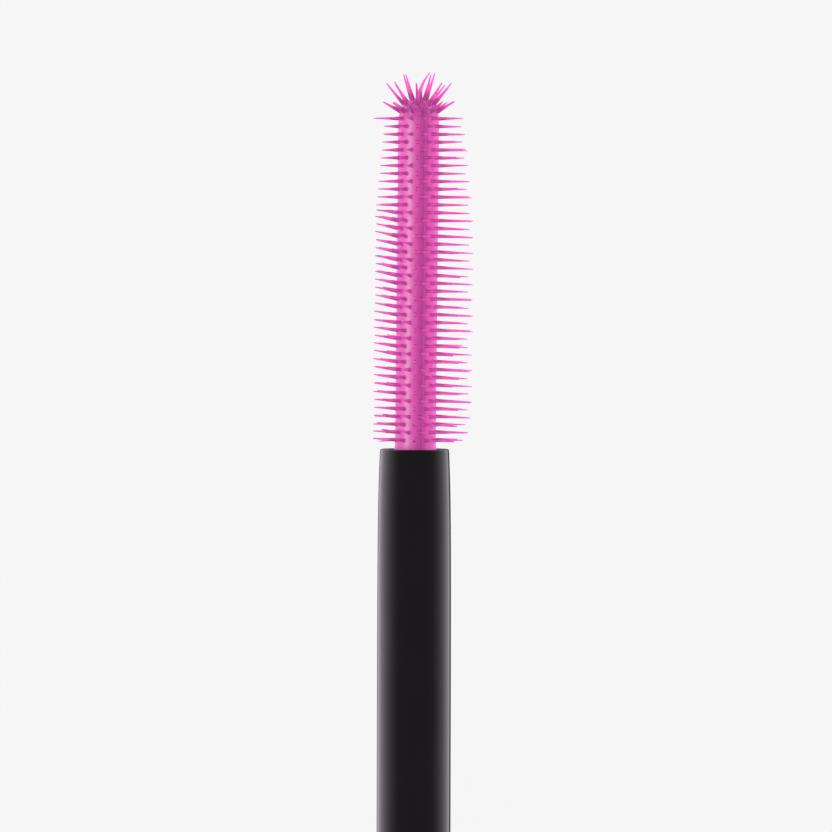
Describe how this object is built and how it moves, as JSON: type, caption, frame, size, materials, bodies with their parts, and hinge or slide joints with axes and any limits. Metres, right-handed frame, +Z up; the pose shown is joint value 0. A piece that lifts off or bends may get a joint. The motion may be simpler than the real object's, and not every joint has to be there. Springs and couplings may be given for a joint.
{
  "type": "mascara tube with brush wand",
  "caption": "Round screw-cap mascara lying open in line: a wand with a moulded bristle brush on its cap, and the threaded bottle with its wiper.",
  "frame": {"origin": "middle of the row of wand and bottle, on the surface they lie on", "axes": "+Y along the common axis of cap, wand and bottle, from the cap's end to the bottle's base; +Z up from the surface; +X across"},
  "size_m": [0.017, 0.2066, 0.017],
  "materials": {
    "gloss_black": "high gloss moulded black",
    "satin_black": "satin moulded black",
    "pink_elastomer": "translucent satin moulded elastomer",
    "pink_metal": "pink anodised",
    "pale_plastic": "natural moulded",
    "seal_foam": "matt",
    "steel": "plain turned",
    "label": "blank satin film"
  },
  "bodies": {
    "bottle": {"bottle_sleeve": "gloss_black", "shoulder_ring": "pink_metal", "vial": "satin_black", "wiper": "pale_plastic", "base_plug": "gloss_black", "base_label": "label"},
    "seal": {"seal_washer": "seal_foam"},
    "applicator": {"cap_shell": "gloss_black", "cap_end_disc": "pink_metal", "cap_weight": "steel", "cap_insert": "satin_black", "stem": "gloss_black", "brush_pin": "pale_plastic", "brush": "pink_elastomer"}
  },
  "joints": [
    {"name": "wand_draw", "type": "slide", "parent": "bottle", "child": "seal", "axis": [0, 1, 0], "range_m": [0, 0.08825], "deforming": ["wiper"]},
    {"name": "cap_turn", "type": "hinge", "parent": "seal", "child": "applicator", "pos_m": [0, -0.0725, 0.0085], "axis": [0, 1, 0], "range_deg": [0, 720]}
  ]
}
